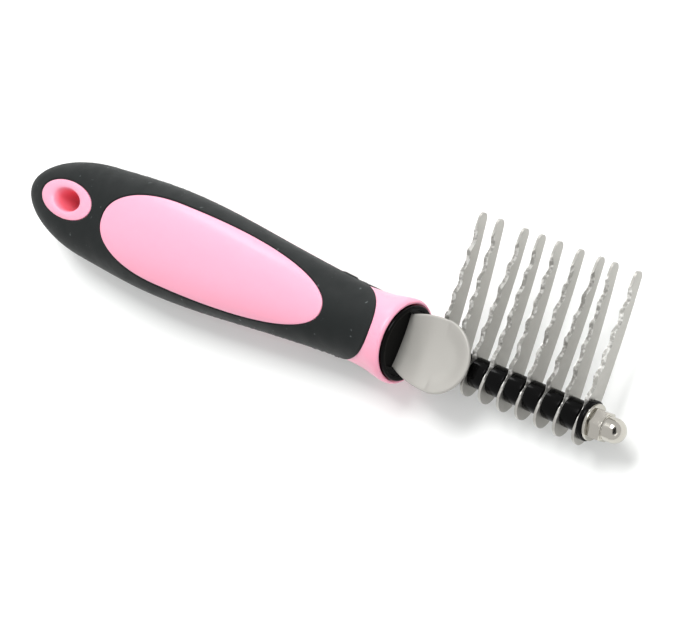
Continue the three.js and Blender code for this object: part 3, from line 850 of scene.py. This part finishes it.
def blade_grid(lean, reach, seed):
    """Section points are (x, z): z is measured down from the edge or up from the back."""
    y = blade_stations()
    chance = np.random.default_rng(seed)
    phase = hollow_phase(y)
    uneven = 1 + 0.12 * np.interp(y, np.arange(-10, 50, 2.7), chance.normal(size=23))
    top, low = blade_edge(y), blade_back(y)
    width = top - low
    edge = top - SCALLOP_DEPTH * phase * uneven
    facet = np.minimum((FACET_NARROW + (FACET_WIDE - FACET_NARROW) * phase) * uneven, 0.45 * width)
    scalloped = SCALLOP_START + SCALLOPS * SCALLOP_PITCH
    fade = np.clip((y + 1.5) / 2, 0.12, 1) * np.clip((scalloped + 1.0 - y) / 1.5, 0.06, 1)
    facet = facet * fade
    border = np.minimum(top - facet, edge - 0.02)
    half = FLAT_THICK / 2
    cut = half - 0.62 * fade * np.clip(width / 3, 0, 1)
    soft = np.minimum(0.18, width / 4)
    columns = [
        (0 * y, low), (half - soft, low), (half - 0.3 * soft, low + 0.3 * soft), (half + 0 * y, low + soft),
        (half + 0 * y, low + 0.5 * width * 0.9), (half + 0 * y, border - 0.06), (half + 0 * y, border),
        (0.5 * (half + cut) - 0.09 * phase, 0.5 * (border + edge)), (cut, edge),
        (np.minimum(cut, -half + 0.14), edge), (-half + 0 * y, edge - np.minimum(0.2, width / 5)),
        (-half + 0 * y, low + 0.45 * width), (-half + 0 * y, low + soft), (-half + soft, low),
    ]
    x = np.stack([column[0] for column in columns], 1)
    z = np.stack([column[1] for column in columns], 1)
    y = np.repeat(y[:, None], len(columns), 1)
    along = np.clip((y - 4) / (TIP_Y - 4), 0, 1)
    ground = np.zeros_like(x)
    ground[:, 6:10] = fade[:, None]
    grid = np.stack([x + lean * along, y + reach * along, z], -1)
    grid[[0, -1]] = grid[[0, -1]].mean(1, keepdims=True)  # both ends close in one point
    return grid, ground


for i in range(BLADES):
    node_name = f"blade_{i + 1}"
    grid, ground = blade_grid(LEAN[i], REACH * (1 - i / (BLADES - 1)), seed=i)
    low, high = span_x(node_name)
    grid[..., 0] += (low + high) / 2 - rod_origin[0]
    blade = make_piece(f"blade_ground_{i + 1}", [(grid, True)], rod_origin, sharp=14, ground=ground)
    fit_out(blade, "rake", "blade_steel", blade_finish, node_name)

# %% [markdown]
# Spacers, end ring, washer and stop collar are rings: a rectangle with round corners, turned about
# the rod with a hole through it. Their lengths come from the CAD boxes.

# %% Make the rings on the rod
BORE = 2.1


def ring_profile(node_name, radius, soft):
    low, high = np.array(span_x(node_name)) - rod_origin[0]
    return rounded([(low, BORE), (low, radius), (high, radius), (high, BORE)], soft)


def make_ring(piece_name, node_name, radius, soft, body, slot, material):
    profile = ring_profile(node_name, radius, soft)
    profile = np.concatenate([profile, profile[:1]])
    piece = make_piece(piece_name, [(turned(profile, 96), True)], rod_origin)
    return fit_out(piece, body, slot, material, node_name)


for i in range(1, BLADES):
    make_ring(f"spacer_tube_{i}", f"spacer_{i}", 3.85, 0.22, "rake", "black_plastic", gloss)
make_ring("end_ring_turned", "end_ring", 5.1, 0.3, "rake", "black_plastic", gloss)
make_ring("stop_collar_turned", "stop_collar", 3.2, 0.25, "rake", "satin_steel", steel)
make_ring("washer_turned", "washer", 4.65, 0.15, "clamp_washer", "bright_steel", nickel)

# %% [markdown]
# The cap nut is a hexagon cut by two cones and capped by a dome. Its radius at an angle is the
# smaller of the hexagon's and the cone's, which draws the curved chamfers by itself.

# %% Make the cap nut
NUT_FLATS, NUT_HEX_HEIGHT, DOME_RADIUS = 7.0, 3.4, 3.05


def nut_grid(length):
    """Rows along X; hexagon radius is half the flats over the cosine of the angle to the flat."""
    angle = np.linspace(0, 2 * np.pi, 180, endpoint=False)
    hexagon = NUT_FLATS / 2 / np.cos((angle + np.pi / 6) % (np.pi / 3) - np.pi / 6)
    rise = np.linspace(0, NUT_HEX_HEIGHT, 40)
    cone = NUT_FLATS / 2 - 0.02 + np.minimum(rise, NUT_HEX_HEIGHT - rise) * np.tan(np.radians(60))
    rows = [(0.0, np.full_like(angle, BORE)), (0.0, np.full_like(angle, NUT_FLATS / 2 - 0.1))]
    rows += [(x, np.minimum(hexagon, limit)) for x, limit in zip(rise, cone)]
    neck = [
        (NUT_HEX_HEIGHT, NUT_FLATS / 2 - 0.12),
        (NUT_HEX_HEIGHT, 3.2),
        (NUT_HEX_HEIGHT + 0.12, DOME_RADIUS + 0.03),
    ]
    rows += [(x, np.full_like(angle, radius)) for x, radius in neck]
    for turn in np.linspace(0, np.pi / 2, 22):
        x = length - DOME_RADIUS + DOME_RADIUS * np.sin(turn)
        rows.append((x, np.full_like(angle, DOME_RADIUS * np.cos(turn))))
    rows += [(length - 2.6, 0 * angle), (length - 3.0, np.full_like(angle, BORE)), rows[0]]
    grid = [np.stack([np.full_like(angle, x), r * np.cos(angle), r * np.sin(angle)], -1) for x, r in rows]
    return np.stack(grid)


nut_low, nut_high = np.array(span_x("cap_nut")) - rod_origin[0]
grid = nut_grid(nut_high - nut_low) + (nut_low, 0, 0)
nut = make_piece("cap_nut_domed", [(grid, True)], rod_origin, sharp=20)
fit_out(nut, "cap_nut", "bright_steel", nickel, "cap_nut")

# %% [markdown]
# The rod shows when the nut is off. It has two flats where the blades sit and a thread beyond them:
# the radius falls and rises with x over the pitch less the turn, which makes a helix.

# %% Make the rod
ROD_RADIUS, ROD_FLAT, THREAD_PITCH, THREAD_DEPTH = 2.0, 1.6, 0.7, 0.22


def rod_grid(x_low, x_high, thread_from):
    angle = np.linspace(0, 2 * np.pi, 64, endpoint=False)
    shank = np.linspace(x_low, thread_from, 60)
    x = np.concatenate([shank, np.arange(thread_from, x_high, THREAD_PITCH / 10)[1:], [x_high]])[:, None]
    flat = ROD_FLAT / np.maximum(np.abs(np.sin(angle)), 1e-3)
    plain = np.where(x > STOP_COLLAR_X, np.minimum(ROD_RADIUS, flat), ROD_RADIUS)
    turn = (x / THREAD_PITCH - angle / (2 * np.pi)) % 1
    screw = ROD_RADIUS - THREAD_DEPTH * (1 - np.abs(2 * turn - 1))
    point = np.clip((x_high - x) * 1.5, 0, 1) * 0.5 + 0.5
    radius = np.where(x > thread_from, screw * point, plain)
    rows = np.stack([x + 0 * radius, radius * np.cos(angle), radius * np.sin(angle)], -1)
    ends = rows[[0, -1]] * (1, 0, 0)
    return np.concatenate([ends[:1], rows, ends[1:]])


STOP_COLLAR_X = span_x("stop_collar")[0] - rod_origin[0]
rod_low, rod_high = np.array(span_x("rod")) - rod_origin[0]
rod = make_piece("rod_threaded", [(rod_grid(rod_low, rod_high, 56.4), True)], rod_origin, sharp=40)
fit_out(rod, "rake", "bright_steel", nickel, "rod")

# %% [markdown]
# The anchor inside the handle keeps its CAD shape and gets its metals.

# %% Finish the hidden anchor
for name, material in (("rod_insert", brass), ("rod_lock_pin", steel)):
    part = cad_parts[name]
    part.data.materials.clear()
    part.data.materials.append(material)
    print("CAD part kept:", name)

# %% [markdown]
# The set is a pale sweep under a soft box, with white all round, as in a light tent. The main light
# comes from the side of the blade tips, so the handle's soft shadow falls the other way. A small low
# light on the same side draws the narrow highlight along the spacers.

# %% Floor and lights
def direction(away):
    """Azimuth and elevation in degrees, and distance in millimetres, of a vector in metres."""
    flat = np.hypot(away[0], away[1])
    angles = np.degrees([np.arctan2(away[1], away[0]), np.arctan2(away[2], flat)])
    return *angles, np.linalg.norm(away) / MM


def area_light(name, place, aim, size, watts):
    light = bpy.data.lights.new(name, "AREA")
    light.shape = "SQUARE"
    light.size = size
    light.energy = watts
    lamp = bpy.data.objects.new(name, light)
    bpy.context.scene.collection.objects.link(lamp)
    away = np.array(place) - np.array(aim)
    lamp.matrix_world = camera_matrix(np.array(aim) / MM, *direction(away), 0)
    return lamp


def flat_sheet(name, x, y, z):
    """A level rectangle from -x to x and -y to y."""
    mesh = bpy.data.meshes.new(name)
    mesh.from_pydata([(-x, -y, z), (x, -y, z), (x, y, z), (-x, y, z)], [], [(0, 1, 2, 3)])
    sheet = bpy.data.objects.new(name, mesh)
    bpy.context.scene.collection.objects.link(sheet)
    return sheet


def make_floor(size):
    floor = flat_sheet("floor", size, size, 0)
    material, tree, shader = new_finish("pale_floor", (0.92, 0.93, 0.92), 0.6)
    tree.links.new(remap(tree, noise(tree, 6), 0.55, 0.65), shader.inputs["Roughness"])
    floor.data.materials.append(material)
    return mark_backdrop(floor)


def make_opening(width, height, behind):
    """The dark opening of the tent, just behind the camera. Only reflections see it."""
    opening = flat_sheet("tent_opening", width / 2, height / 2, -behind)
    opening.data.transform(camera.matrix_world @ Matrix.Scale(-1, 4, (0, 0, 1)))
    material, tree, shader = new_finish("dark_cloth", (0.01, 0.01, 0.01), 0.9)
    tree.links.new(remap(tree, noise(tree, 6), 0.85, 0.95), shader.inputs["Roughness"])
    opening.data.materials.append(material)
    opening.visible_camera = False
    opening.visible_diffuse = False
    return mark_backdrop(opening)


make_floor(3)
make_opening(0.30, 0.62, 0.05)
world = bpy.data.worlds.new("tent")
world.use_nodes = True
world.node_tree.nodes["Background"].inputs["Color"].default_value = (1, 1, 1, 1)
world.node_tree.nodes["Background"].inputs["Strength"].default_value = 0.84
bpy.context.scene.world = world
area_light("main_softbox", (0.0, 0.42, 0.75), (0, 0, 0), 0.4, 6.2)
area_light("side_strip", (-0.55, 0.68, 0.33), (0, 0, 0), 0.22, 1.3)
area_light("fill_softbox", (0.7, -0.3, 0.6), (0, 0, 0), 0.4, 1)
bpy.context.scene.view_settings.view_transform = "Standard"
print("lights:", [light.name for light in bpy.data.lights])
